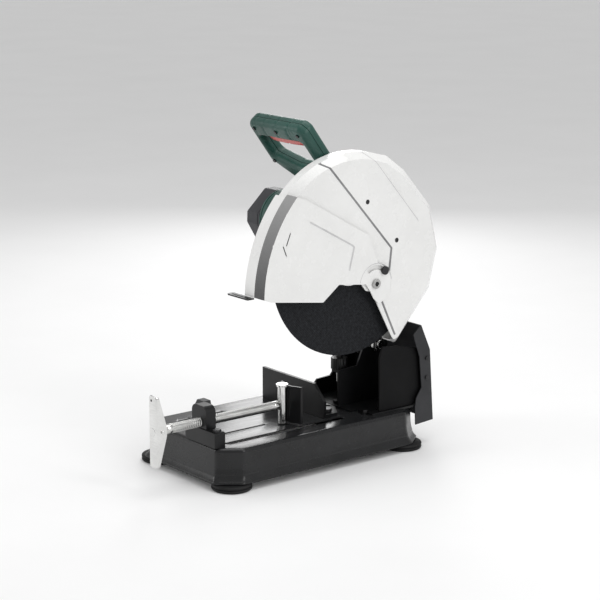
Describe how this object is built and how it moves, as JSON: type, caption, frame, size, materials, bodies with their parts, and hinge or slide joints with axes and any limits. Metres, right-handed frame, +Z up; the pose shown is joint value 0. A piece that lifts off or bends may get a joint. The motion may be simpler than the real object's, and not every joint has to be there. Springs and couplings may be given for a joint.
{
  "type": "abrasive chop saw",
  "caption": "Abrasive chop saw with a hinged motor head, guarded cutting wheel, D-handle, quick-release vise, swivelling fence and pressed steel base on rubber feet.",
  "frame": {"origin": "on the floor, under the middle of the whole saw's box at rest", "axes": "+Z up, +Y from the operator to the back of the saw, +X to the operator's right, along the wheel's axis"},
  "size_m": [0.294, 0.6298, 0.637],
  "materials": {
    "black_paint": "semi-gloss black powder coat on pressed steel",
    "dark_paint": "satin dark grey powder coat",
    "white_paint": "smooth white powder coat",
    "casting": "die-cast, painted dark grey",
    "rubber": "moulded rubber",
    "steel": "turned steel",
    "zinc": "bright zinc plate, polished",
    "black_steel": "blackened steel",
    "green_plastic": "glass-filled nylon, fine texture",
    "grey_plastic": "glass-filled nylon",
    "red_plastic": "moulded nylon",
    "black_plastic": "moulded plastic",
    "abrasive": "resin-bonded abrasive with glass mesh",
    "copper": "copper bars and winding",
    "core_steel": "stacked laminations",
    "carbon": "pressed carbon",
    "bronze": "sintered bronze"
  },
  "bodies": {
    "base": {"base_tray": "black_paint", "rubber_feet": "rubber", "corner_plates": "black_paint", "foot_screws": "steel", "column": "black_paint", "column_bolts": "black_steel", "spark_wall": "black_paint", "rear_cover": "dark_paint", "rear_cover_screws": "black_steel", "pivot_shaft": "zinc", "pivot_nut": "zinc", "return_spring": "steel", "vise_block": "black_paint", "vise_bolts": "black_steel", "lever_pin": "steel", "fence_pivot_bolt": "black_steel", "fence_clamp_bolt": "black_steel"},
    "depth_stop": {"stop_knob": "black_plastic", "stop_stud": "steel"},
    "fence": {"fence": "black_paint"},
    "vise_jaw": {"jaw_pin": "zinc"},
    "vise_face": {"jaw_plate": "black_paint"},
    "vise_screw": {"vise_screw": "zinc", "vise_handle": "zinc", "handle_pin": "zinc"},
    "nut_lever": {"nut_lever": "casting"},
    "lock_pin": {"lock_pin": "zinc"},
    "head": {"arm_casting": "casting", "pivot_bush": "bronze", "gear_cover": "casting", "gear_cover_screws": "black_steel", "motor_housing": "green_plastic", "motor_end_cap": "grey_plastic", "cord_gland": "rubber", "stator": "core_steel", "carbon_brushes": "carbon", "armature_bearings": "steel", "arbor_bearings": "steel", "fixed_guard": "white_paint", "guard_pivot_screw": "zinc", "guard_screws": "black_steel", "handle_front_shell": "green_plastic", "handle_rear_shell": "green_plastic", "handle_screws": "black_steel"},
    "moving_guard": {"moving_guard": "white_paint", "guard_tab": "black_paint"},
    "trigger": {"trigger": "red_plastic"},
    "lock_button": {"lock_button": "red_plastic"},
    "spindle_lock": {"spindle_lock": "black_plastic"},
    "arbor": {"arbor_shaft": "steel", "inner_flange": "steel", "outer_flange": "zinc", "abrasive_disc": "abrasive", "arbor_bolt": "black_steel", "driven_gear": "steel"},
    "armature": {"armature_shaft": "steel", "armature_core": "core_steel", "commutator": "copper", "cooling_fan": "grey_plastic", "pinion": "steel"}
  },
  "joints": [
    {"name": "head_pivot", "type": "hinge", "parent": "base", "child": "head", "pos_m": [0, 0.215, 0.19], "axis": [1, 0, 0], "range_deg": [0, 44], "stiffness_Nm_per_rad": 30, "springref_deg": -42.97},
    {"name": "guard_swing", "type": "hinge", "parent": "head", "child": "moving_guard", "pos_m": [0.107, 0.1497, 0.3272], "axis": [-1, 0, 0], "range_deg": [0, 60]},
    {"name": "arbor_spin", "type": "hinge", "parent": "head", "child": "arbor", "pos_m": [0.085, 0.1013, 0.3738], "axis": [1, 0, 0], "continuous": true},
    {"name": "armature_spin", "type": "hinge", "parent": "head", "child": "armature", "pos_m": [0, 0.0733, 0.4338], "axis": [1, 0, 0], "continuous": true},
    {"name": "trigger_press", "type": "slide", "parent": "head", "child": "trigger", "axis": [0, -0.6018, 0.7986], "range_m": [0, 0.004], "stiffness_N_per_m": 800, "springref_m": -0.002},
    {"name": "lock_press", "type": "slide", "parent": "head", "child": "lock_button", "axis": [1, 0, 0], "range_m": [0, 0.003], "stiffness_N_per_m": 500, "springref_m": -0.002},
    {"name": "spindle_lock_press", "type": "slide", "parent": "head", "child": "spindle_lock", "axis": [0, 0, 1], "range_m": [0, 0.003], "stiffness_N_per_m": 600, "springref_m": -0.002},
    {"name": "vise_slide", "type": "slide", "parent": "base", "child": "vise_jaw", "axis": [0, 1, 0], "range_m": [-0.11, 0.03]},
    {"name": "jaw_swivel", "type": "hinge", "parent": "vise_jaw", "child": "vise_face", "pos_m": [0.05, -0.026, 0.114], "axis": [0, 0, 1], "range_deg": [0, 45]},
    {"name": "vise_turn", "type": "hinge", "parent": "vise_jaw", "child": "vise_screw", "pos_m": [0.05, -0.026, 0.114], "axis": [0, 1, 0], "range_deg": [-9900, 2700]},
    {"name": "nut_lever_flip", "type": "hinge", "parent": "base", "child": "nut_lever", "pos_m": [0.018, -0.185, 0.094], "axis": [0, -1, 0], "range_deg": [0, 60]},
    {"name": "fence_swing", "type": "hinge", "parent": "base", "child": "fence", "pos_m": [0.055, 0.077, 0.079], "axis": [0, 0, 1], "range_deg": [0, 45]},
    {"name": "stop_turn", "type": "hinge", "parent": "base", "child": "depth_stop", "pos_m": [0.008, 0.145, 0.15], "axis": [0, 0, 1], "continuous": true},
    {"name": "lock_pin_slide", "type": "slide", "parent": "base", "child": "lock_pin", "axis": [1, 0, 0], "range_m": [0, 0.012]}
  ],
  "couplings": [
    {"joint": "guard_swing", "follows": "head_pivot", "ratio": 1.35},
    {"joint": "armature_spin", "follows": "arbor_spin", "ratio": -4.3},
    {"joint": "vise_slide", "follows": "vise_turn", "m_per_rad": 0.00063662},
    {"joint": "jaw_swivel", "follows": "fence_swing", "ratio": 1}
  ]
}
